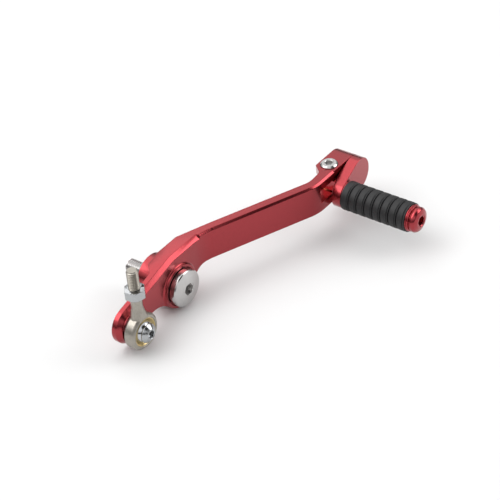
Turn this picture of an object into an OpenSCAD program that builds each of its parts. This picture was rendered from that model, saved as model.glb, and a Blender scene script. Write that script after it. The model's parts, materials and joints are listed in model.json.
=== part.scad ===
// Foot gear shift lever for a motorcycle: a machined arm that swings on a fixed bolt, with a linkage rod end at
// one end and a folding toe peg at the other.
// Origin: on the pivot axis, at the seat where the pivot stack meets the motorcycle.
// +X runs towards the toe, +Y into the motorcycle, +Z up. Millimetres.

/* [Lever arm] */
// Distance from the pivot axis to the toe screw along X
toe_x = 105; // [95:1:126]
// Distance from the seat out to the toe screw along Y
toe_out = 42; // [38:0.5:46]
// Height of the arm's flat top above the pivot axis
arm_top = 19.4; // [17:0.1:21]
// Height of the bar
bar_height = 18.2; // [16:0.1:19.4]
// Thickness of the bar
bar_thick = 5.6; // [4.5:0.1:6.6]
// Plan angle of the bar
bar_angle = 23.6; // [22:0.1:26]
// Thickness of the pivot head
head_thick = 9.6; // [8:0.1:11]
// Size of the large front chamfer
head_chamfer = 2.2; // [1.5:0.1:2.6]
// Width of the chamfer along the bar's upper front edge
bar_chamfer = 1.1; // [0.6:0.1:1.4]
// Outer diameter of the pivot hub
hub_dia = 25; // [24.5:0.1:27]
// Radius of the hollow fillet round the hub's raised front ring
hub_fillet = 1.4; // [0.8:0.1:1.4]
// Width of the clevis block
block_width = 11.7; // [11:0.1:13]
// Height of the clevis slot
slot_height = 7.8; // [7:0.1:9]

/* [Linkage end] */
// Distance from the pivot axis back to the linkage ball
link_x = 38.3; // [34:0.1:46]
// Height of the linkage ball above the pivot axis
link_z = 0.2; // [-1:0.1:1.5]
// Outer diameter of the lever's tip
tip_dia = 20; // [19:0.1:22]
// Thickness of the lever's tip
tip_thick = 5; // [4:0.1:6]
// Outer diameter of the rod end's ring
rod_ring_dia = 20; // [19:0.1:22]
// Width of the rod end's ring
rod_ring_width = 6.75; // [6:0.05:7]
// Diameter of the rod end's ball
ball_dia = 12.7; // [12:0.1:15.3]
// Width of the ball across its flat ends
ball_width = 9; // [8.8:0.1:9.6]
// Length from the ball's centre to the end of the shank
shank_reach = 38; // [34:0.5:46]
// Thread diameter of the shank
shank_dia = 6; // [5:0.5:6]

/* [Pivot] */
// Thread diameter of the pivot bolt
pivot_thread = 8; // [6:1:8]
// Length of the thread that sticks out behind the seat
thread_reach = 13.3; // [10:0.1:18]
// Diameter of the pivot bolt's head
bolt_head_dia = 20.4; // [19:0.1:21]
// Thickness of the pivot bolt's head at its rim
bolt_head_thick = 3.5; // [3:0.1:4.5]
// Height of the dome on the pivot bolt's head
bolt_dome = 1.6; // [1:0.1:2]
// Outer diameter of the pivot sleeve
sleeve_dia = 10; // [9.6:0.1:10.4]
// Outer diameter of the ball bearings
bearing_dia = 19; // [18.6:0.1:22.8]
// Width of the ball bearings
bearing_width = 5; // [4.5:0.1:6]
// Total width of the pivot hub
hub_width = 19.9; // [18:0.1:24]

/* [Toe peg] */
// Outer diameter of the rubber sleeve
peg_dia = 16.2; // [13.5:0.1:17]
// Length of the rubber sleeve
peg_length = 40; // [32:0.5:48]
// Ribs along the rubber sleeve
peg_ribs = 8; // [5:1:10]
// Depth of the grooves between the ribs
groove_depth = 0.55; // [0.3:0.05:0.8]
// Diameter of the peg's core rod
core_dia = 8; // [7:0.1:9]
// Diameter of the peg's end cap
cap_dia = 14; // [13:0.1:15]
// Height of the peg's axis above the pivot axis
peg_z = 6.3; // [5:0.1:7.5]
// Distance of the peg's axis back from the toe screw
peg_back = 3.5; // [2:0.1:4]
// Angle that the peg folds through
fold_angle = 11; // [8:0.5:13]
// Angle of the carrier's front face, which makes it thicker round the peg
carrier_slant = 4.5; // [3:0.5:5]
// Thread diameter of the toe screw
toe_screw = 5; // [4:0.5:5]

/* [Hidden] */
$fn = 96;

// Clearances
press_gap = 0.01;        // pressed seats
run_gap = 0.05;          // turning fits, on radius
slide_gap = 0.1;         // loose fits, on radius or face
body_gap = 0.3;          // faces of different moving bodies
over = 1;                // how far a cutting shape passes a face

// Pivot stack along Y, from the seat outwards (towards -Y)
washer_thick = 1.2;
washer_dia = 15;
seal_thick = 1;
seal_recess = 0.4;
circlip_thick = 1;
hub_back = -washer_thick - body_gap;
hub_front = hub_back - hub_width;
bolt_seat = hub_front - 0.3;
thread_r = pivot_thread / 2;
bolt_rim = bolt_seat - bolt_head_thick;
bolt_front = bolt_rim - bolt_dome;
dome_r = (pow(bolt_head_dia / 2, 2) + pow(bolt_dome, 2)) / (2 * bolt_dome);
relief_length = 0.6;     // thread relief in front of the seat
relief_r = thread_r - 0.7;
thread_chamfer = 0.7;
sleeve_r = sleeve_dia / 2;
bearing_r = bearing_dia / 2;
ring_wall = 1.5;
inner_ring_r = sleeve_r + ring_wall;
outer_ring_r = bearing_r - ring_wall;
ball_r = (outer_ring_r - inner_ring_r) / 2 + 0.35;
ball_pitch_r = (outer_ring_r + inner_ring_r) / 2;
ball_count = 11;
seal_r = bearing_r;
rear_bearing_back = hub_back - seal_recess - seal_thick;
rear_bearing_mid = rear_bearing_back - bearing_width / 2;
front_recess = 2;
front_bearing_front = hub_front + front_recess + circlip_thick + seal_thick;
front_bearing_mid = front_bearing_front + bearing_width / 2;
hub_bore_r = bearing_r - 1.5;
recess_r = bolt_head_dia / 2 + 0.4;

// Arm section and outline
arm_bottom = arm_top - bar_height;
head_front = hub_front + 1.4;
head_back = head_front + head_thick;
hub_r = hub_dia / 2;
tip_r = tip_dia / 2;
link_place = [-link_x, link_z];
tip_back = head_front + tip_thick;
tip_boss_r = 8.7;
tip_boss_height = 1.1;
ridge_x = -2;            // where the sloping top meets the flat top
end_r = bar_height / 2;
end_x = toe_x + 11.4;
end_z = arm_top - end_r;
neck_r = 14;             // round under the arm between tip and hub
belly_r = 12;            // round under the arm between hub and bar
neck_c = circle_meet(link_place, tip_r + neck_r, [0, 0], hub_r + neck_r, -1);
belly_z = arm_bottom - belly_r;
belly_c = [sqrt(pow(hub_r + belly_r, 2) - pow(belly_z, 2)), belly_z];

// Arm outline from above
block_front = -toe_out - block_width / 2;
block_back = -toe_out + block_width / 2;
slope = tan(bar_angle);
side = bar_thick / cos(bar_angle);
bar_front_x = toe_x - 19.5;              // where the bar's front line meets the block's front line
back_turn_x = bar_front_x + (side - bar_thick) / slope;
shoulder_x = toe_x - 4.2;                // back left corner of the block
head_end_x = 12.5;                       // end of the head's back face
bar_start_x = bar_front_x - (head_front - block_front) / slope;
bar_back_start = head_front + side - slope * (30 - bar_start_x);
bar_back_y = block_front + bar_thick;
chamfer_end_x = bar_start_x - 3;         // where the large chamfer runs out

// Clevis
lip = (bar_height - slot_height) / 2;
slot_bottom = arm_bottom + lip;
slot_top = arm_top - lip;
slot_left = toe_x - 16.8;
slot_right = toe_x + 7.2;
toe_r = toe_screw / 2;
bush_r = toe_r + 1;
toe_head_r = toe_r + 2.2;
toe_head_proud = 1.2;
nut_af = 8;
nut_thick = 3;
shim = 0.5;
tongue_top = slot_top - shim - slide_gap;
tongue_bottom = slot_bottom + shim + slide_gap;
tongue_r = 5.4;

// Carrier and peg
carrier_back = block_front - body_gap;
carrier_thick = 5.4;
carrier_front = carrier_back - carrier_thick;
peg_x = toe_x - peg_back;
lobe_r = 7.7;
lobe_reach = 2 * lobe_r + arm_top;       // taller than the carrier, for the cuts through it
slant_x = toe_x + 16;                    // where the slanted front face crosses the carrier's front
collar_r = 7.4;
sleeve_start = carrier_front - 2.4;
sleeve_end = sleeve_start - peg_length;
peg_r = peg_dia / 2;
core_r = core_dia / 2;
cap_r = cap_dia / 2;
cap_end = sleeve_end - 6.2;
rib_pitch = peg_length / peg_ribs;
groove_width = 1;
fold_face = block_width / 2 + body_gap;  // distance from the toe screw to the folded carrier's back face

// Return spring
wire_r = 0.4;
spring_turns = 3;
spring_pitch = 2 * wire_r + 0.02;
spring_r = bush_r + 0.25 + wire_r;
spring_pocket_r = spring_r + wire_r + 0.15;
spring_pocket_depth = spring_pitch * spring_turns + 0.5;

// Linkage
link_y = head_front - tip_boss_height - ball_width / 2;
race_r = ball_dia / 2 + run_gap;
liner_r = ball_dia / 2 + 1.3;
liner_lip = 0.45;        // liner face that is left outside its countersink
shank_r = shank_dia / 2;
link_screw_r = 3;
ball_bore_r = link_screw_r + slide_gap;
screw_head_r = 5.2;
screw_face_r = 2.9;
screw_head_thick = 2.6;
screw_rim = 0.6;         // height of the screw head's straight rim
jam_af = 10;
jam_thick = 5;
jam_z = link_z + 21.7;
jam_turn = 40.3;         // turn of the hexagon about the shank
neck_top = 15;
neck_base_r = 4.6;
ring_chamfer = 1.2;
thread_root_r = shank_r - 0.55;          // the shank inside the jam nut

// Meeting point of two circles, on the side given by hand (1 or -1)
function circle_meet(a, ra, b, rb, hand) =
    let(d = norm(b - a), u = (b - a) / d, s = (ra * ra - rb * rb + d * d) / (2 * d), h = sqrt(ra * ra - s * s))
    a + s * u + hand * h * [-u[1], u[0]];

// Tangent point on a circle seen from an outside point, upper side
function tangent_top(c, r, p) =
    let(v = p - c, d = norm(v), turn = acos(r / d), base = atan2(v[1], v[0]))
    c + r * [cos(base + turn), sin(base + turn)];

// Corner of an outline made round: points of the arc between the two sides
function round_corner(a, p, b, r, steps = 10) =
    let(u = (a - p) / norm(a - p), v = (b - p) / norm(b - p), half = acos(u * v) / 2, reach = r / tan(half),
        mid = (u + v) / norm(u + v), c = p + mid * r / sin(half), from = p + u * reach - c, to = p + v * reach - c,
        a0 = atan2(from[1], from[0]), turn = atan2(to[1], to[0]) - a0,
        sweep = turn > 180 ? turn - 360 : turn < -180 ? turn + 360 : turn)
    [for (i = [0:steps]) c + r * [cos(a0 + sweep * i / steps), sin(a0 + sweep * i / steps)]];

// Outline from [x, y, radius] corners; radius 0 keeps a corner sharp
function rounded(corners) =
    let(n = len(corners))
    [for (i = [0:n - 1]) let(p = [corners[i][0], corners[i][1]], before = corners[(i + n - 1) % n],
        after = corners[(i + 1) % n])
        each corners[i][2] == 0 ? [p]
            : round_corner([before[0], before[1]], p, [after[0], after[1]], corners[i][2])];

module y_cylinder(r, from, to) {
    translate([0, from, 0]) rotate([-90, 0, 0]) cylinder(r = r, h = to - from);
}

module y_cone(r_from, r_to, from, to) {
    translate([0, from, 0]) rotate([-90, 0, 0]) cylinder(r1 = r_from, r2 = r_to, h = to - from);
}

module y_tube(r_out, r_in, from, to) {
    difference() {
        y_cylinder(r_out, from, to);
        y_cylinder(r_in, from - over, to + over);
    }
}

// Side outline pushed along Y: the outline's own y becomes Z
module along_y(from, to) {
    translate([0, to, 0]) rotate([90, 0, 0]) linear_extrude(height = to - from) children();
}

module hexagon(across) {
    circle(r = across / 2 / cos(30), $fn = 6);
}

// Balls of one bearing, spread evenly round the axis
module ball_ring(mid) {
    for (i = [0:ball_count - 1])
        rotate([0, i * 360 / ball_count, 0]) translate([ball_pitch_r, mid, 0]) sphere(r = ball_r, $fn = 32);
}

// Bearing ring: a tube with a groove for the balls
module bearing_ring(r_out, r_in, mid) {
    translate([0, mid, 0]) rotate([-90, 0, 0]) rotate_extrude() difference() {
        translate([r_in, -bearing_width / 2]) square([r_out - r_in, bearing_width]);
        translate([ball_pitch_r, 0]) circle(r = ball_r + 0.03, $fn = 48);
    }
}

// ---- fixed pivot ----

module pivot_bolt() {
    color("gainsboro") difference() {
        union() {
            y_cylinder(bolt_head_dia / 2, bolt_rim, bolt_seat);
            intersection() {
                y_cylinder(bolt_head_dia / 2, bolt_front, bolt_rim + over);
                translate([0, bolt_front + dome_r, 0]) rotate([90, 0, 0]) sphere(r = dome_r);
            }
            y_cylinder(thread_r, bolt_seat - over, -washer_thick);
            y_cylinder(relief_r, -washer_thick - over, relief_length + over);
            y_cylinder(thread_r, relief_length, thread_reach - thread_chamfer);
            y_cone(thread_r, thread_r - thread_chamfer, thread_reach - thread_chamfer, thread_reach);
        }
        along_y(bolt_front - over, bolt_front + 4) hexagon(6);
    }
}

module pivot_sleeve() {
    color("silver") y_tube(sleeve_r, thread_r + slide_gap, bolt_seat, -washer_thick);
}

module seat_washer() {
    color("silver") y_tube(washer_dia / 2, thread_r + slide_gap, -washer_thick, 0);
}

module front_inner_ring() {
    color("lightgray") bearing_ring(inner_ring_r, sleeve_r + press_gap, front_bearing_mid);
}

module rear_inner_ring() {
    color("lightgray") bearing_ring(inner_ring_r, sleeve_r + press_gap, rear_bearing_mid);
}

module front_bearing_balls() {
    color("white") ball_ring(front_bearing_mid);
}

module rear_bearing_balls() {
    color("white") ball_ring(rear_bearing_mid);
}

// ---- lever ----

// The arm's outline from the side, pushed through the whole depth from one Y to another
module side_solid(from, to) {
    tip_top = tangent_top(link_place, tip_r, [ridge_x, arm_top]);
    difference() {
        union() {
            translate([-link_x, 0, link_z]) y_cylinder(tip_r, from, to);
            y_cylinder(hub_r, from, to);
            translate([end_x, 0, end_z]) y_cylinder(end_r, from, to);
            along_y(from, to) polygon([tip_top, [ridge_x, arm_top], [end_x, arm_top], [end_x, arm_bottom],
                [belly_c[0], arm_bottom], belly_c, [0, 0], neck_c, link_place]);
        }
        translate([neck_c[0], 0, neck_c[1]]) y_cylinder(neck_r, from - over, to + over);
        translate([belly_c[0], 0, belly_c[1]]) y_cylinder(belly_r, from - over, to + over);
    }
}

module plan_outline() {
    polygon(rounded([
        [-link_x - tip_r - over, head_front, 0],
        [bar_start_x, head_front, 30],
        [bar_front_x, block_front, 24],
        [end_x + end_r + over, block_front, 0],
        [end_x + end_r + over, block_back, 0],
        [shoulder_x, block_back, 0.6],
        [shoulder_x - 4.5, bar_back_y + 0.6, 4],
        [back_turn_x, bar_back_y, 12],
        [30, bar_back_start, 30],
        [head_end_x, head_back, 4],
        [-hub_r + 2, head_back, 0],
        [-hub_r - 3, tip_back, 3],
        [-link_x - tip_r - over, tip_back, 0]
    ]));
}

// Wedge that cuts the front chamfer along a straight top edge from a to b
module edge_chamfer(a, b) {
    run = norm(b - a);
    translate([a[0], head_front, a[1]]) rotate([0, -atan2(b[1] - a[1], b[0] - a[0]), 0])
        translate([-over, 0, 0]) rotate([90, 0, 90]) linear_extrude(height = run + 2 * over)
            polygon([[-over, over], [-over, -head_chamfer - over], [head_chamfer + over, over]]);
}

// Ring that cuts the front chamfer round the tip
// Chamfer along the bar's upper front edge, through both of its bends
module bar_edge_chamfer() {
    start = [bar_start_x, head_front];
    bend = [bar_front_x, block_front];
    finish = [toe_x - toe_head_r, block_front];
    path = concat([[chamfer_end_x - 6, head_front]], round_corner([chamfer_end_x - 20, head_front], start, bend, 30),
        round_corner(start, bend, finish, 24), [finish]);
    for (i = [0:len(path) - 2]) {
        step = path[i + 1] - path[i];
        translate([path[i][0], path[i][1], arm_top]) rotate([0, 0, atan2(step[1], step[0])])
            translate([-over, 0, 0]) rotate([90, 0, 90]) linear_extrude(height = norm(step) + 2 * over)
                polygon([[-3 * over, 3 * over], [-3 * over, -bar_chamfer - 3 * over],
                    [bar_chamfer + 3 * over, 3 * over]]);
    }
}

module tip_chamfer() {
    translate([-link_x, 0, link_z]) difference() {
        y_cylinder(tip_r + 2 * over, head_front - over, head_front + head_chamfer);
        y_cone(tip_r - head_chamfer - over, tip_r, head_front - over, head_front + head_chamfer);
        translate([0, head_front - 2 * over, -tip_r - 3 * over])
            cube([tip_r + 3 * over, head_chamfer + 4 * over, 2 * tip_r + 6 * over]);
    }
}

// Ring with a hollow flank that blends the hub's raised front ring into the head
module hub_fillet_ring() {
    translate([0, head_front, 0]) rotate([90, 0, 0]) rotate_extrude() difference() {
        translate([hub_r - 0.5 - over, -over / 2]) square([over + hub_fillet, over / 2 + hub_fillet]);
        translate([hub_r - 0.5 + hub_fillet, hub_fillet]) circle(r = hub_fillet);
    }
}

module lever_arm() {
    tip_top = tangent_top(link_place, tip_r, [ridge_x, arm_top]);
    color("crimson") difference() {
        union() {
            intersection() {
                side_solid(block_front - over, head_back + over);
                translate([0, 0, -hub_r - over]) linear_extrude(height = hub_r + arm_top + 2 * over) plan_outline();
            }
            y_cylinder(hub_r - 0.5, hub_front, head_front + over);
            intersection() {
                side_solid(hub_front, head_front + over);
                hub_fillet_ring();
            }
            y_cylinder(hub_r - 0.5, head_back - over, hub_back);
            translate([-link_x, 0, link_z]) y_cylinder(tip_boss_r, head_front - tip_boss_height, head_front + over);
        }
        edge_chamfer(tip_top, [ridge_x, arm_top]);
        edge_chamfer([ridge_x, arm_top], [chamfer_end_x, arm_top]);
        bar_edge_chamfer();
        tip_chamfer();
        y_cylinder(recess_r, hub_front - over, hub_front + front_recess);
        y_cylinder(bearing_r + press_gap, hub_front + over, front_bearing_front + bearing_width);
        y_cylinder(hub_bore_r, hub_front, hub_back + over);
        y_cylinder(bearing_r + press_gap, rear_bearing_back - bearing_width, hub_back + over);
        translate([-link_x, 0, link_z]) y_cylinder(link_screw_r + slide_gap, head_front - 3 * over, tip_back + over);
        translate([slot_left, block_front - over, slot_bottom])
            cube([slot_right - slot_left, block_width + 2 * over, slot_height]);
        translate([toe_x, -toe_out, arm_bottom - over]) cylinder(r = toe_r + slide_gap, h = bar_height + 2 * over);
        translate([toe_x, -toe_out, arm_top - 2.2]) cylinder(r = toe_head_r + slide_gap, h = 2.2 + over);
        translate([toe_x, -toe_out, arm_bottom - over]) linear_extrude(height = nut_thick + over)
            hexagon(nut_af + 2 * slide_gap);
    }
}

module front_outer_ring() {
    color("lightgray") bearing_ring(bearing_r, outer_ring_r, front_bearing_mid);
}

module rear_outer_ring() {
    color("lightgray") bearing_ring(bearing_r, outer_ring_r, rear_bearing_mid);
}

module dust_seal(from) {
    color("dimgray") y_tube(seal_r, sleeve_r + slide_gap, from, from + seal_thick);
}

module front_dust_seal() {
    dust_seal(front_bearing_front - seal_thick);
}

module rear_dust_seal() {
    dust_seal(rear_bearing_back);
}

module retaining_ring() {
    color("dimgray") difference() {
        y_tube(bearing_r, bearing_r - 1.6, hub_front + front_recess, hub_front + front_recess + circlip_thick);
        translate([-1.5, hub_front, 0]) cube([3, 2 * circlip_thick + front_recess, hub_r]);
    }
}

module linkage_screw() {
    face = link_y - ball_width / 2;
    color("lightgray") translate([-link_x, 0, link_z]) difference() {
        union() {
            y_cylinder(link_screw_r, face - over, tip_back - 0.2);
            y_cylinder(screw_head_r, face - screw_rim, face);
            y_cone(screw_face_r, screw_head_r, face - screw_head_thick, face - screw_rim);
        }
        along_y(face - screw_head_thick - over, face - screw_head_thick + 2) hexagon(4);
    }
}

// ---- rod end ----

module linkage_ball() {
    color("whitesmoke") translate([-link_x, link_y, link_z]) rotate([-90, 0, 0]) rotate_extrude() intersection() {
        difference() {
            circle(r = ball_dia / 2);
            translate([-ball_dia, -ball_dia]) square([ball_dia + ball_bore_r, 2 * ball_dia]);
        }
        translate([0, -ball_width / 2]) square([ball_dia, ball_width]);
    }
}

module rod_end_liner() {
    half = rod_ring_width / 2 - 0.4;
    color("tan") translate([-link_x, link_y, link_z]) rotate([-90, 0, 0]) rotate_extrude() difference() {
        translate([0, -half]) square([liner_r, 2 * half]);
        circle(r = race_r);
        for (end = [-1, 1]) polygon([[0, end * (half + over)], [liner_r - liner_lip + over, end * (half + over)],
            [race_r - 0.4 - over, end * (half - liner_lip - 2 * over)], [0, end * (half - liner_lip - 2 * over)]]);
    }
}

module rod_end_housing() {
    half = rod_ring_width / 2;
    ring_r = rod_ring_dia / 2;
    nut_low = jam_z - link_z;
    color("darkgray") translate([-link_x, link_y, link_z]) difference() {
        union() {
            rotate([-90, 0, 0]) rotate_extrude() polygon([[liner_r, -half], [ring_r - ring_chamfer, -half],
                [ring_r, -half + ring_chamfer], [ring_r, half - ring_chamfer], [ring_r - ring_chamfer, half],
                [liner_r, half]]);
            translate([0, 0, ring_r - 2]) cylinder(r1 = neck_base_r, r2 = shank_r, h = neck_top - ring_r + 2);
            translate([0, 0, neck_top]) cylinder(r = shank_r, h = nut_low - neck_top);
            translate([0, 0, nut_low - over]) cylinder(r = thread_root_r, h = jam_thick + 2 * over);
            translate([0, 0, nut_low + jam_thick])
                cylinder(r = shank_r, h = shank_reach - nut_low - jam_thick - thread_chamfer);
            translate([0, 0, shank_reach - thread_chamfer])
                cylinder(r1 = shank_r, r2 = shank_r - thread_chamfer, h = thread_chamfer);
        }
        y_cylinder(liner_r + press_gap, -ring_r, ring_r);
        for (flip = [0, 180]) rotate([0, 0, flip]) translate([-ring_r, half, 0])
            cube([2 * ring_r, ring_r, neck_top - 2]);
    }
}

module jam_nut() {
    color("silver") translate([-link_x, link_y, jam_z]) rotate([0, 0, jam_turn]) intersection() {
        difference() {
            linear_extrude(height = jam_thick) hexagon(jam_af);
            translate([0, 0, -over]) cylinder(r = thread_root_r + press_gap, h = jam_thick + 2 * over);
        }
        union() {
            cylinder(r1 = jam_af / 2, r2 = jam_af / 2 + 1, h = 0.6);
            translate([0, 0, 0.6]) cylinder(r = jam_af / 2 + 1, h = jam_thick - 1.2);
            translate([0, 0, jam_thick - 0.6]) cylinder(r1 = jam_af / 2 + 1, r2 = jam_af / 2, h = 0.6);
        }
    }
}

// ---- toe hinge, on the lever ----

module toe_screw() {
    head_bottom = arm_top - 2.2;
    head_top = arm_top + toe_head_proud;
    color("gainsboro") translate([toe_x, -toe_out, 0]) difference() {
        union() {
            translate([0, 0, arm_bottom]) cylinder(r = toe_r, h = bar_height);
            translate([0, 0, head_bottom]) cylinder(r = toe_head_r, h = head_top - head_bottom - 0.6);
            translate([0, 0, head_top - 0.6]) cylinder(r1 = toe_head_r, r2 = toe_head_r - 0.6, h = 0.6);
        }
        translate([0, 0, head_top - 2.4]) linear_extrude(height = 3) hexagon(4);
    }
}

module toe_nut() {
    color("silver") translate([toe_x, -toe_out, arm_bottom]) difference() {
        linear_extrude(height = nut_thick) hexagon(nut_af);
        translate([0, 0, -over]) cylinder(r = toe_r + press_gap, h = nut_thick + 2 * over);
    }
}

module thrust_washers() {
    color("goldenrod") for (z = [slot_bottom, slot_top - shim]) translate([toe_x, -toe_out, z]) difference() {
        cylinder(r = tongue_r, h = shim);
        translate([0, 0, -over]) cylinder(r = toe_r + slide_gap, h = shim + 2 * over);
    }
}

// ---- folding toe ----

// Everything that the folded carrier would push into the block: it is closer to the toe screw than fold_face
module fold_cut(height_from, height_to) {
    reach = 40;
    translate([toe_x, -toe_out, height_from]) rotate([0, 0, fold_angle]) translate([-reach, -fold_face, 0])
        cube([2 * reach, 2 * reach, height_to - height_from]);
}

// Everything in front of the carrier's slanted front face
module slant_cut() {
    reach = 40;
    translate([slant_x, carrier_front, peg_z - lobe_reach]) rotate([0, 0, carrier_slant])
        translate([-reach, -reach, 0]) cube([2 * reach, reach, 2 * lobe_reach]);
}

// Two lobes joined by straight sides that touch both
module carrier_plate(from, to) {
    lobe = [peg_x, peg_z];
    upper = [end_x, end_z];
    tilt = atan2(upper[1] - lobe[1], upper[0] - lobe[0]);
    spread = acos((lobe_r - end_r) / norm(upper - lobe));
    side = function(c, r, turn) c + r * [cos(turn), sin(turn)];
    translate([peg_x, 0, peg_z]) y_cylinder(lobe_r, from, to);
    translate([end_x, 0, end_z]) y_cylinder(end_r, from, to);
    along_y(from, to) polygon([side(lobe, lobe_r, tilt + spread), side(upper, end_r, tilt + spread), upper,
        side(upper, end_r, tilt - spread), side(lobe, lobe_r, tilt - spread), lobe]);
}

module toe_carrier() {
    tongue_height = tongue_top - tongue_bottom;
    color("crimson") difference() {
        union() {
            difference() {
                carrier_plate(sleeve_start, carrier_back);
                fold_cut(peg_z - lobe_reach, peg_z + lobe_reach);
                slant_cut();
            }
            translate([peg_x, 0, peg_z]) y_cylinder(collar_r, sleeve_start, carrier_front + over);
            translate([toe_x, -toe_out, tongue_bottom]) cylinder(r = tongue_r, h = tongue_height);
            translate([toe_x - tongue_r, carrier_back - 2, tongue_bottom])
                cube([2 * tongue_r, -toe_out - carrier_back + 2, tongue_height]);
        }
        translate([toe_x, -toe_out, tongue_bottom - over])
            cylinder(r = bush_r + press_gap, h = tongue_height + 2 * over);
        translate([toe_x, -toe_out, tongue_bottom - over]) cylinder(r = spring_pocket_r, h = spring_pocket_depth + over);
        translate([peg_x, 0, peg_z]) y_cylinder(core_r / 2 + press_gap, sleeve_start - over, carrier_front + 2.6);
    }
}

module toe_bush() {
    color("goldenrod") translate([toe_x, -toe_out, tongue_bottom]) difference() {
        cylinder(r = bush_r, h = tongue_top - tongue_bottom);
        translate([0, 0, -over]) cylinder(r = toe_r + run_gap, h = tongue_top - tongue_bottom + 2 * over);
    }
}

// Coil of round wire, drawn as one ring for each turn
module return_spring() {
    color("gray") translate([toe_x, -toe_out, tongue_bottom + wire_r + 0.15]) for (turn = [0:spring_turns - 1])
        translate([0, 0, turn * spring_pitch]) rotate_extrude() translate([spring_r, 0])
            circle(r = wire_r, $fn = 24);
}

module peg_core() {
    color("silver") translate([peg_x, 0, peg_z]) {
        y_cylinder(core_r, sleeve_end, sleeve_start);
        y_cylinder(core_r / 2, sleeve_start - over, carrier_front + 2.4);
        y_cylinder(core_r / 2, sleeve_end - 3, sleeve_end + over);
    }
}

module peg_sleeve() {
    color("dimgray") translate([peg_x, 0, peg_z]) difference() {
        y_cylinder(peg_r, sleeve_end, sleeve_start);
        y_cylinder(core_r + press_gap, sleeve_end - over, sleeve_start + over);
        for (i = [1:peg_ribs - 1]) translate([0, sleeve_start - i * rib_pitch, 0])
            y_tube(peg_r + over, peg_r - groove_depth, -groove_width / 2, groove_width / 2);
    }
}

module peg_cap() {
    color("crimson") translate([peg_x, 0, peg_z]) difference() {
        rotate([90, 0, 0]) translate([0, 0, -sleeve_end]) rotate_extrude() polygon([[0, 0], [cap_r + 0.4, 0],
            [cap_r + 0.4, 0.5], [cap_r, 0.8], [cap_r, 1.1], [cap_r + 0.3, 1.3], [cap_r + 0.1, 1.7], [cap_r - 1, 2],
            [cap_r - 1, 2.6], [cap_r, 3], [cap_r, 4.2], [cap_r - 0.5, 5], [cap_r - 1.4, 5.7], [cap_r - 2.4, 6.1],
            [cap_r - 3, 6.2], [0, 6.2]]);
        y_cylinder(core_r / 2 + press_gap, sleeve_end - 3.1, sleeve_end + over);
        along_y(cap_end - over, cap_end + 2.6) hexagon(5);
    }
}

pivot_bolt();
pivot_sleeve();
seat_washer();
front_inner_ring();
rear_inner_ring();
front_bearing_balls();
rear_bearing_balls();
lever_arm();
front_outer_ring();
rear_outer_ring();
front_dust_seal();
rear_dust_seal();
retaining_ring();
linkage_screw();
linkage_ball();
rod_end_housing();
rod_end_liner();
jam_nut();
toe_screw();
toe_nut();
thrust_washers();
toe_carrier();
toe_bush();
return_spring();
peg_core();
peg_sleeve();
peg_cap();
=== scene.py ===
import json
from math import asin, cos, pi, radians, sin, sqrt, tan

import bmesh
import bpy
from mathutils import Matrix, Vector


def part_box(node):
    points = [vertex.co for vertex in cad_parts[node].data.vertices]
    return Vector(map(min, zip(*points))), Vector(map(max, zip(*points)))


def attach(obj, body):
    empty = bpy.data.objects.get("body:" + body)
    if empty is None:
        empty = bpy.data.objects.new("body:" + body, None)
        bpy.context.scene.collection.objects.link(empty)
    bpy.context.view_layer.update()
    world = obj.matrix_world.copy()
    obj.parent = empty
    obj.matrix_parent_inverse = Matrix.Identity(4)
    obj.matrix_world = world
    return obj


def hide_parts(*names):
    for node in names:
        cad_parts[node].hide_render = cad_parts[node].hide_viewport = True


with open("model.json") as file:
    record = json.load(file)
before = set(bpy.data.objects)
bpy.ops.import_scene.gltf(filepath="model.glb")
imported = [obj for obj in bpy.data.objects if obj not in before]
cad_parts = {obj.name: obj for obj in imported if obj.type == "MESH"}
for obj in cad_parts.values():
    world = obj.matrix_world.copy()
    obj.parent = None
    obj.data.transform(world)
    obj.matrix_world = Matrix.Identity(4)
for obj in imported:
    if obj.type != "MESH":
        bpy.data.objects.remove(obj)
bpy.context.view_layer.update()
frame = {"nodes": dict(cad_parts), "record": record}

MM = 0.001
SMOOTH_BELOW = radians(32)      # surfaces that meet at less than this angle are one smooth surface
ROUND = 96                      # steps round a turned piece
SAME_CORNER = 0.002 * MM        # CAD corners nearer to each other than this are one corner
SAME_PLANE = radians(0.4)       # CAD faces that meet at less than this angle are one flat face
SAME_POINT = 0.0005 * MM        # points of a turned piece nearer to each other than this are one point
THREAD_STEPS = 12               # rows in one pitch of a thread
THREAD_DEPTH = 0.61             # of the M8 thread, as a share of its pitch

# Thread sizes in millimetres, as are the profile points of every turned piece below.
M8_RADIUS, M8_PITCH = 4.0, 1.25
M8_ROOT = M8_RADIUS - THREAD_DEPTH * M8_PITCH
M6_RADIUS, M6_ROOT, M6_PITCH = 3.0, 2.4, 1.0

SLOT_OF = {part["node"]: part["material_slot"] for part in frame["record"]["subparts"]}
BODY_OF = {node: body for body, nodes in frame["record"]["behaviour"]["bodies"].items() for node in nodes}


def middle(node):
    low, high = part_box(node)
    return (low + high) / 2


# ---- materials ----

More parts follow.
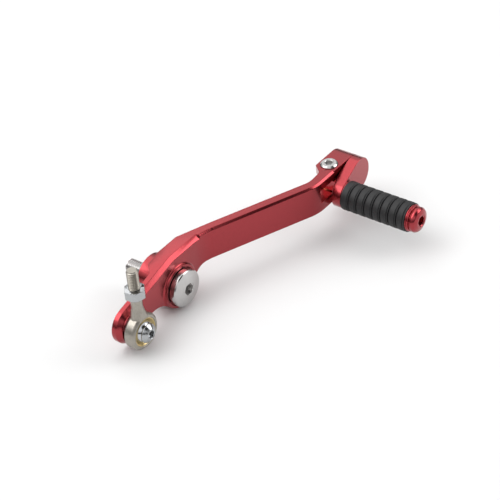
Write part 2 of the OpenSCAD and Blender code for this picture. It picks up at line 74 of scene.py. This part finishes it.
def surface(name, colour, metallic, roughness, tint=0.08, tint_scale=400, grain=0.1, grain_scale=9000,
            coat=0.0, coat_roughness=0.1, ior=1.5, turned=0.0, turned_scale=5000):
    """A shader whose colour, roughness and fine relief each follow their own noise.
    turned adds the rings that a lathe leaves round the piece's own Z axis."""
    material = bpy.data.materials.new(name)
    material.use_nodes = True
    nodes, links = material.node_tree.nodes, material.node_tree.links
    shader = nodes["Principled BSDF"]
    shader.inputs["Metallic"].default_value = metallic
    shader.inputs["IOR"].default_value = ior
    shader.inputs["Coat Weight"].default_value = coat
    shader.inputs["Coat Roughness"].default_value = coat_roughness
    place = nodes.new("ShaderNodeTexCoord").outputs["Object"]

    def noise(scale, detail, where=place):
        node = nodes.new("ShaderNodeTexNoise")
        node.inputs["Scale"].default_value = scale
        node.inputs["Detail"].default_value = detail
        links.new(where, node.inputs["Vector"])
        return node.outputs["Fac"]

    mottle = noise(tint_scale, 4)
    ramp = nodes.new("ShaderNodeValToRGB")
    for stop, (at, share) in zip(ramp.color_ramp.elements, ((0.3, 1 - tint), (0.7, 1 + tint))):
        stop.position = at
        stop.color = [min(1, channel * share) for channel in colour] + [1]
    links.new(mottle, ramp.inputs["Fac"])
    links.new(ramp.outputs["Color"], shader.inputs["Base Color"])

    spread = nodes.new("ShaderNodeMapRange")
    spread.inputs["To Min"].default_value = roughness * 0.85
    spread.inputs["To Max"].default_value = roughness * 1.15
    links.new(noise(tint_scale * 3, 3), spread.inputs["Value"])
    links.new(spread.outputs["Result"], shader.inputs["Roughness"])

    relief = noise(grain_scale, 2)
    if turned:
        split = nodes.new("ShaderNodeSeparateXYZ")
        links.new(place, split.inputs["Vector"])
        across = nodes.new("ShaderNodeCombineXYZ")
        links.new(split.outputs["X"], across.inputs["X"])
        links.new(split.outputs["Y"], across.inputs["Y"])
        radius = nodes.new("ShaderNodeVectorMath")
        radius.operation = "LENGTH"
        links.new(across.outputs["Vector"], radius.inputs[0])
        track = nodes.new("ShaderNodeCombineXYZ")
        links.new(radius.outputs["Value"], track.inputs["X"])
        links.new(split.outputs["Z"], track.inputs["Z"])
        mix = nodes.new("ShaderNodeMix")
        mix.inputs["Factor"].default_value = turned
        links.new(relief, mix.inputs[2])
        links.new(noise(turned_scale, 1, track.outputs["Vector"]), mix.inputs[3])
        relief = mix.outputs[0]
    bump = nodes.new("ShaderNodeBump")
    bump.inputs["Strength"].default_value = grain
    bump.inputs["Distance"].default_value = 0.05 * MM
    links.new(relief, bump.inputs["Height"])
    links.new(bump.outputs["Normal"], shader.inputs["Normal"])
    return material


MATERIALS = {
    "anodised_red": surface("anodised_red", (0.34, 0.03, 0.038), 1, 0.24, tint=0.05, tint_scale=900,
                            grain=0.12, coat=0.5, coat_roughness=0.2),
    "stainless": surface("stainless", (0.52, 0.51, 0.505), 1, 0.2, tint=0.04, turned=0.8, grain=0.25),
    "bearing_steel": surface("bearing_steel", (0.55, 0.56, 0.57), 1, 0.18, tint=0.03),
    "polished_ball": surface("polished_ball", (0.5, 0.51, 0.53), 1, 0.05, tint=0.02, grain=0.02),
    "seal_rubber": surface("seal_rubber", (0.018, 0.018, 0.019), 0, 0.6, tint=0.2, grain=0.4),
    "dark_steel": surface("dark_steel", (0.1, 0.1, 0.105), 1, 0.35, tint=0.1, grain=0.2),
    "zinc_steel": surface("zinc_steel", (0.42, 0.43, 0.44), 1, 0.16, tint=0.08, tint_scale=1500, grain=0.2),
    "rod_steel": surface("rod_steel", (0.36, 0.335, 0.295), 1, 0.34, tint=0.1, tint_scale=1200, grain=0.6,
                         grain_scale=6000),
    "bronze": surface("bronze", (0.66, 0.52, 0.26), 1, 0.35, tint=0.08, grain=0.2),
    "aluminium_core": surface("aluminium_core", (0.66, 0.66, 0.67), 1, 0.25, tint=0.03, grain=0.2),
    "peg_rubber": surface("peg_rubber", (0.008, 0.008, 0.009), 0, 0.55, tint=0.25, tint_scale=2500, grain=0.5,
                          grain_scale=5000),
}


# ---- building pieces ----

def add_piece(name, mesh, node, place=Matrix.Identity(4)):
    """Adds a piece that stands for a CAD node: same body, same slot, same material."""
    for polygon in mesh.polygons:
        polygon.use_smooth = True
    mesh.set_sharp_from_angle(angle=SMOOTH_BELOW)
    mesh.materials.clear()
    mesh.materials.append(MATERIALS[SLOT_OF[node]])
    piece = bpy.data.objects.new(name, mesh)
    bpy.context.scene.collection.objects.link(piece)
    piece.matrix_world = place
    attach(piece, BODY_OF[node])
    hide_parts(node)
    return piece


def frame_at(origin, axis):
    """Places a turned piece: its own Z axis runs along axis, from origin."""
    turn = Vector((0, 0, 1)).rotation_difference(Vector(axis))
    return Matrix.Translation(origin) @ turn.to_matrix().to_4x4()


def softened(corners, steps=5):
    """Corners of (radius, along, round) to points of (radius, along). Each corner becomes an arc
    of its round, or of a smaller one where its sides are short."""
    points = []
    for number, (r, a, bend) in enumerate(corners):
        corner = Vector((r, a))
        if not bend or number in (0, len(corners) - 1):
            points.append((r, a))
            continue
        before = Vector(corners[number - 1][:2]) - corner
        after = Vector(corners[number + 1][:2]) - corner
        half = before.angle(after) / 2
        reach = min(bend / tan(half), 0.49 * before.length, 0.49 * after.length)
        bend = reach * tan(half)
        start, end = corner + before.normalized() * reach, corner + after.normalized() * reach
        centre = corner + (before.normalized() + after.normalized()).normalized() * bend / sin(half)
        for step in range(steps + 1):
            point = centre + (start - centre).lerp(end - centre, step / steps).normalized() * bend
            points.append((point.x, point.y))
    return points


def ring_rows(points):
    """One row of (radius, along) round the axis for each profile point."""
    return [[point] * ROUND for point in points]


def hexagon_rows(across, alongs):
    """Rows with the outline of a hexagon, this wide across its flats."""
    sector = pi / 3
    turns = [(column * 2 * pi / ROUND) % sector - sector / 2 for column in range(ROUND)]
    return [[(across / 2 / cos(turn), along) for turn in turns] for along in alongs]


def socket_rows(across, point, floor, rim):
    """Rows of a hexagon socket: the point under its floor, the floor's outline and the rim's outline."""
    return ring_rows([(0, point)]) + hexagon_rows(across, (floor, rim))


def thread_rows(major, minor, pitch, start, end):
    """Rows of a right-hand screw thread from start to end; it runs out to its root at both ends."""
    root_begins, flank = 0.4, 0.34      # shares of the pitch; the first counts from the middle of the crest
    end_haste = 1.5                     # the far end runs out this many times as fast as the near one
    rows = []
    for number in range(round((end - start) / pitch * THREAD_STEPS) + 1):
        along = min(end, start + number * pitch / THREAD_STEPS)
        fade = min(1, (along - start) / pitch, (end - along) / pitch * end_haste)
        row = []
        for column in range(ROUND):
            off_crest = abs((along / pitch - column / ROUND) % 1 - 0.5)
            height = min(1, max(0, (root_begins - off_crest) / flank))
            row.append((minor + (major - minor) * height * max(0, fade), along))
        rows.append(row)
    return rows


def finished(shape, name):
    """The edited shape as a mesh of this name."""
    mesh = bpy.data.meshes.new(name)
    shape.to_mesh(mesh)
    shape.free()
    return mesh


def skin(rows, loop=False):
    """Closed mesh over rows round the Z axis. The first and last rows are each closed over,
    or with loop joined to each other, as in a ring."""
    shape = bmesh.new()
    turns = [2 * pi * column / ROUND for column in range(ROUND)]
    grid = [[shape.verts.new((radius * MM * cos(turn), radius * MM * sin(turn), along * MM))
             for turn, (radius, along) in zip(turns, row)] for row in rows]
    for lower, upper in zip(grid, grid[1:] + grid[:1] if loop else grid[1:]):
        for column in range(ROUND):
            after = (column + 1) % ROUND
            shape.faces.new((lower[column], lower[after], upper[after], upper[column]))
    if not loop:
        shape.faces.new(reversed(grid[0]))
        shape.faces.new(grid[-1])
    bmesh.ops.remove_doubles(shape, verts=shape.verts, dist=SAME_POINT)
    bmesh.ops.dissolve_degenerate(shape, edges=shape.edges, dist=SAME_POINT)
    bmesh.ops.recalc_face_normals(shape, faces=shape.faces)
    return finished(shape, "turned")


def machined(name, node, edge):
    """The CAD node's own surfaces, with their sharp edges broken by edge millimetres."""
    shape = bmesh.new()
    shape.from_mesh(frame["nodes"][node].data)
    bmesh.ops.remove_doubles(shape, verts=shape.verts, dist=SAME_CORNER)
    bmesh.ops.dissolve_limit(shape, angle_limit=SAME_PLANE, verts=shape.verts, edges=shape.edges)
    piece = add_piece(name, finished(shape, name), node)
    breaks = piece.modifiers.new("edge_breaks", "BEVEL")
    breaks.limit_method = "ANGLE"
    breaks.angle_limit = SMOOTH_BELOW
    breaks.width = edge * MM
    breaks.segments = 2
    breaks.use_clamp_overlap = False


# ---- fixed pivot ----

def pivot_bolt():
    """Domed head with a hexagon socket, a relief groove that ends just past the seat washer,
    and an M8 thread. Points are (radius, distance behind the front of the head)."""
    low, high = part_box("pivot_bolt")
    seat = (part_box("pivot_sleeve")[0].y - low.y) / MM
    washer = (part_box("seat_washer")[1].y - low.y) / MM
    tip = (high.y - low.y) / MM
    head, dome = high.x / MM, 1.6
    crown = (head ** 2 + dome ** 2) / (2 * dome)
    inner, outer, steps = 3.8, head - 0.45, 12
    face = [(3.66, 0.3), (3.72, 0.16)]
    for step in range(1, steps + 1):
        r = inner + (outer - inner) * step / steps
        face.append((r, crown - sqrt(crown ** 2 - r ** 2) + 0.02))
    face += softened([face[-1] + (0,), (head, dome + 0.42, 0.12), (head, seat, 0.15), (M8_RADIUS, seat, 0),
                      (M8_RADIUS, washer - 1.2, 0), (M8_ROOT, washer - 0.8, 0),
                      (M8_ROOT, washer + 0.2, 0)])[1:]
    rows = socket_rows(across=6, point=3.9, floor=3.4, rim=0.35) + ring_rows(face)
    rows += thread_rows(M8_RADIUS, M8_ROOT, M8_PITCH, washer + 0.3, tip)
    add_piece("pivot_bolt_turned", skin(rows), "pivot_bolt", frame_at((0, low.y, 0), (0, 1, 0)))


# ---- linkage end ----

def linkage_screw():
    """Button head screw with a plain shank. Points are (radius, distance behind the front of the head)."""
    low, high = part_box("linkage_screw")
    centre = middle("linkage_screw")
    head, tip = (high.x - low.x) / 2 / MM, (high.y - low.y) / MM
    base = (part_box("linkage_ball")[0].y - low.y) / MM
    face = softened([(2.36, 0.22, 0), (2.62, 0.02, 0.06), (3.0, 0.02, 0.3), (head - 0.9, base - 1.5, 3),
                     (head - 0.02, base - 0.6, 0.5), (head, base, 0.1), (M6_RADIUS, base, 0)])
    rows = socket_rows(across=4, point=2.0, floor=1.7, rim=0.25) + ring_rows(face)
    rows += ring_rows([(M6_RADIUS, tip - 0.3), (M6_RADIUS - 0.3, tip)])
    add_piece("linkage_screw_turned", skin(rows), "linkage_screw",
              frame_at((centre.x, low.y, centre.z), (0, 1, 0)))


def linkage_ball():
    """Ball with two flat ends and a bore. Points are (radius, distance from the ball's middle)."""
    low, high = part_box("linkage_ball")
    radius, half = (high.x - low.x) / 2 / MM, (high.y - low.y) / 2 / MM
    bore, bore_edge, chamfer = 3.05, 3.35, 0.3
    lean, margin, steps = asin(half / radius), 0.03, 32
    flat_edge = radius * cos(lean) - 0.1
    points = [(bore, half - chamfer), (bore, chamfer - half), (bore_edge, -half), (flat_edge, -half)]
    for step in range(steps + 1):
        turn = -lean + margin + 2 * (lean - margin) * step / steps
        points.append((radius * cos(turn), radius * sin(turn)))
    points += [(flat_edge, half), (bore_edge, half)]
    add_piece("linkage_ball_ground", skin(ring_rows(points), loop=True), "linkage_ball",
              frame_at(middle("linkage_ball"), (0, 1, 0)))


def rod_end():
    """The forged eye and neck melt into each other. The thread starts at the jam nut's lower face."""
    ring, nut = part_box("rod_end_housing"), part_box("jam_nut")
    cut_level = nut[0].z + 1 * MM
    shape = bmesh.new()
    shape.from_mesh(frame["nodes"]["rod_end_housing"].data)
    bmesh.ops.remove_doubles(shape, verts=shape.verts, dist=SAME_CORNER)
    cut = bmesh.ops.bisect_plane(shape, geom=shape.verts[:] + shape.edges[:] + shape.faces[:],
                                 plane_co=(0, 0, cut_level), plane_no=(0, 0, 1), clear_outer=True)
    rim = [part for part in cut["geom_cut"] if isinstance(part, bmesh.types.BMEdge)]
    bmesh.ops.holes_fill(shape, edges=rim)
    forging = add_piece("rod_end_forging", finished(shape, "rod_end_forging"), "rod_end_housing")
    grain = forging.modifiers.new("even_faces", "REMESH")
    grain.mode = "VOXEL"
    grain.voxel_size = 0.22 * MM
    grain.use_smooth_shade = True
    melt = forging.modifiers.new("melted_corners", "SMOOTH")
    melt.factor = 0.5
    melt.iterations = 12

    start, end = (nut[0].z - ring[0].z) / MM, (ring[1].z - ring[0].z) / MM
    rows = ring_rows([(M6_ROOT, start - 0.2)]) + thread_rows(M6_RADIUS, M6_ROOT, M6_PITCH, start, end)
    centre = middle("jam_nut")
    add_piece("rod_end_thread", skin(rows), "rod_end_housing",
              frame_at((centre.x, centre.y, ring[0].z), (0, 0, 1)))


# ---- toe end ----

def toe_screw():
    """Upright socket screw with a plain shank. Points are (radius, distance above its lower end)."""
    low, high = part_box("toe_screw")
    centre = middle("toe_screw")
    head, top = (high.x - low.x) / 2 / MM, (high.z - low.z) / MM
    shank, head_height = 2.5, 3.3
    face = softened([(2.36, top - 0.2, 0), (2.55, top, 0.05), (head - 0.75, top, 0.2), (head, top - 0.7, 0.2),
                     (head, top - head_height, 0.1), (shank, top - head_height, 0), (shank, 0.4, 0),
                     (shank - 0.4, 0, 0)])
    rows = socket_rows(across=4, point=top - 2.4, floor=top - 2.1, rim=top - 0.2) + ring_rows(face)
    add_piece("toe_screw_turned", skin(rows), "toe_screw", frame_at((centre.x, centre.y, low.z), (0, 0, 1)))


def peg_sleeve():
    """Eight bands, each with a fine line near its outer edge, and a deeper groove between every two.
    Points are (radius, distance outward from the end at the carrier)."""
    low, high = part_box("peg_sleeve")
    centre = middle("peg_sleeve")
    r, length = (high.x - low.x) / 2 / MM, (high.y - low.y) / MM
    bands, bore, line_depth, groove_depth = 8, 4.02, 0.5, 0.95
    pitch = length / bands
    corners = [(bore, 0, 0), (r, 0, 0.4)]
    for band in range(bands):
        end = band * pitch + pitch
        corners += [(r - 0.02, end - 1.35, 0.4), (r - line_depth, end - 1.1, 0.12),
                    (r - line_depth, end - 0.9, 0.12), (r - 0.16, end - 0.75, 0.15)]
        if band < bands - 1:
            corners += [(r - 0.25, end - 0.35, 0.2), (r - groove_depth, end - 0.16, 0.12),
                        (r - groove_depth, end + 0.16, 0.12), (r - 0.08, end + 0.5, 0.5)]
    corners += [(r - 0.1, length, 0.2), (bore, length, 0)]
    add_piece("peg_sleeve_moulded", skin(ring_rows(softened(corners, steps=4)), loop=True), "peg_sleeve",
              frame_at((centre.x, high.y, centre.z), (0, -1, 0)))


def peg_cap():
    """Rounded cap with two collars. Points are (radius, distance outward from the sleeve's outer end)."""
    low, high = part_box("peg_cap")
    centre = middle("peg_cap")
    reach, r = (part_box("peg_sleeve")[0].y - low.y) / MM, (high.x - low.x) / 2 / MM
    face = softened([(2.95, reach - 0.35, 0), (3.3, reach, 0.3), (4.1, reach - 0.05, 1.0),
                     (r - 1.25, reach - 0.75, 1.2), (r - 0.4, reach - 2.0, 1.0), (r - 0.4, 2.9, 0.5),
                     (r - 1.2, 2.5, 0.25), (r - 1.2, 2.05, 0.15), (r - 0.35, 1.85, 0.2),
                     (r - 0.15, 1.35, 0.15), (r - 0.45, 1.1, 0.08), (r - 0.45, 0.85, 0.08),
                     (r, 0.65, 0.12), (r, 0.02, 0.1), (0, 0.02, 0)])
    rows = socket_rows(across=5, point=reach - 2.6, floor=reach - 2.3, rim=reach - 0.35) + ring_rows(face)
    add_piece("peg_cap_turned", skin(rows), "peg_cap",
              frame_at((centre.x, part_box("peg_sleeve")[0].y, centre.z), (0, -1, 0)))


def return_spring():
    """One round wire wound in three turns round an upright axis."""
    low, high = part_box("return_spring")
    centre = middle("return_spring")
    wire, turns, steps, sides = 0.4 * MM, 3, 120, 12
    radius = (high.x - low.x) / 2 - wire
    rise = high.z - low.z - 2 * wire
    shape = bmesh.new()
    rings = []
    for step in range(steps + 1):
        turn = 2 * pi * turns * step / steps
        out = Vector((cos(turn), sin(turn), 0))
        spot = out * radius + Vector((0, 0, rise * (step / steps - 0.5)))
        rings.append([shape.verts.new(spot + wire * (cos(2 * pi * side / sides) * out
                                                     + sin(2 * pi * side / sides) * Vector((0, 0, 1))))
                      for side in range(sides)])
    for lower, upper in zip(rings, rings[1:]):
        for side in range(sides):
            shape.faces.new((lower[side], lower[(side + 1) % sides], upper[(side + 1) % sides], upper[side]))
    shape.faces.new(rings[0])
    shape.faces.new(rings[-1])
    bmesh.ops.recalc_face_normals(shape, faces=shape.faces)
    add_piece("return_spring_coil", finished(shape, "coil"), "return_spring", Matrix.Translation(centre))


# ---- all pieces, and the materials of the CAD nodes that stay ----

pivot_bolt()
linkage_screw()
linkage_ball()
rod_end()
toe_screw()
peg_sleeve()
peg_cap()
return_spring()
machined("lever_arm_machined", "lever_arm", 0.15)
machined("toe_carrier_machined", "toe_carrier", 0.2)
machined("jam_nut_machined", "jam_nut", 0.12)
machined("toe_nut_machined", "toe_nut", 0.12)
machined("retaining_ring_stamped", "retaining_ring", 0.1)
for node, cad in frame["nodes"].items():
    if not cad.hide_render:
        cad.data.materials.clear()
        cad.data.materials.append(MATERIALS[SLOT_OF[node]])


# ---- stage, light and camera ----

def make_stage():
    floor_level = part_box("lever_arm")[0].z - 0.3 * MM
    reach = 3.0
    mesh = bpy.data.meshes.new("floor")
    signs = ((-1, -1), (1, -1), (1, 1), (-1, 1))
    mesh.from_pydata([(x * reach, y * reach, floor_level) for x, y in signs], [], [(0, 1, 2, 3)])
    mesh.materials.append(surface("floor_paint", (0.75, 0.75, 0.75), 0, 0.6, tint=0.005, tint_scale=20,
                                  grain=0.05))
    floor = bpy.data.objects.new("floor", mesh)
    bpy.context.scene.collection.objects.link(floor)


def make_sky():
    """White overhead and nearly black from the horizon down, with a dark patch up in front of the part."""
    patch_direction = Vector((0.06, -0.7, 0.71)).normalized()
    patch_edge, patch_core = radians(28), radians(16)
    world = bpy.data.worlds.new("studio")
    world.use_nodes = True
    nodes, links = world.node_tree.nodes, world.node_tree.links
    split = nodes.new("ShaderNodeSeparateXYZ")
    place = nodes.new("ShaderNodeTexCoord").outputs["Generated"]
    links.new(place, split.inputs["Vector"])
    ramp = nodes.new("ShaderNodeValToRGB")
    ramp.color_ramp.elements[0].position = 0.12
    ramp.color_ramp.elements[0].color = (0.06, 0.06, 0.06, 1)
    ramp.color_ramp.elements[1].position = 0.5
    ramp.color_ramp.elements[1].color = (1, 1, 1, 1)
    links.new(split.outputs["Z"], ramp.inputs["Fac"])
    towards_patch = nodes.new("ShaderNodeVectorMath")
    towards_patch.operation = "DOT_PRODUCT"
    towards_patch.inputs[1].default_value = patch_direction
    links.new(place, towards_patch.inputs[0])
    shade = nodes.new("ShaderNodeMapRange")
    shade.inputs["From Min"].default_value = cos(patch_edge)
    shade.inputs["From Max"].default_value = cos(patch_core)
    shade.inputs["To Min"].default_value = 1
    shade.inputs["To Max"].default_value = 0.03
    links.new(towards_patch.outputs["Value"], shade.inputs["Value"])
    dim = nodes.new("ShaderNodeVectorMath")
    dim.operation = "SCALE"
    links.new(ramp.outputs["Color"], dim.inputs[0])
    links.new(shade.outputs["Result"], dim.inputs["Scale"])
    links.new(dim.outputs["Vector"], nodes["Background"].inputs["Color"])
    nodes["Background"].inputs["Strength"].default_value = 1.1
    bpy.context.scene.world = world


def add_softbox(name, direction, distance, size, power):
    light = bpy.data.lights.new(name, "AREA")
    light.shape = "SQUARE"
    light.size = size
    light.energy = power
    lamp = bpy.data.objects.new(name, light)
    bpy.context.scene.collection.objects.link(lamp)
    towards = Vector(direction).normalized()
    target = Vector((0.04, -0.03, 0))
    facing = towards.to_track_quat("Z", "Y").to_matrix().to_4x4()
    lamp.matrix_world = Matrix.Translation(target + towards * distance) @ facing


def make_camera():
    azimuth, elevation, roll = radians(-49.67), radians(37.16), radians(-6.09)
    back = Vector((sin(azimuth) * cos(elevation), -cos(azimuth) * cos(elevation), sin(elevation)))
    right = Vector((cos(azimuth), sin(azimuth), 0))
    up = back.cross(right)
    side, top = cos(roll) * right + sin(roll) * up, -sin(roll) * right + cos(roll) * up
    camera = bpy.data.objects.new("camera", bpy.data.cameras.new("camera"))
    camera.data.sensor_width = 36
    camera.data.lens = 139.06
    camera.data.clip_start = 0.01
    facing = Matrix((side, top, back)).transposed().to_4x4()
    camera.matrix_world = Matrix.Translation((-0.5702, -0.5538, 0.6091)) @ facing
    bpy.context.scene.collection.objects.link(camera)
    bpy.context.scene.camera = camera


make_stage()
make_sky()
add_softbox("key_light", (-0.45, 0.45, 0.85), distance=1.3, size=0.9, power=6)
add_softbox("overhead_light", (0.2, 0.52, 0.83), distance=1.3, size=1.0, power=2.6)
add_softbox("front_right_light", (0.6, -0.62, 0.5), distance=1.3, size=0.75, power=6)
make_camera()
bpy.context.scene.view_settings.view_transform = "Standard"
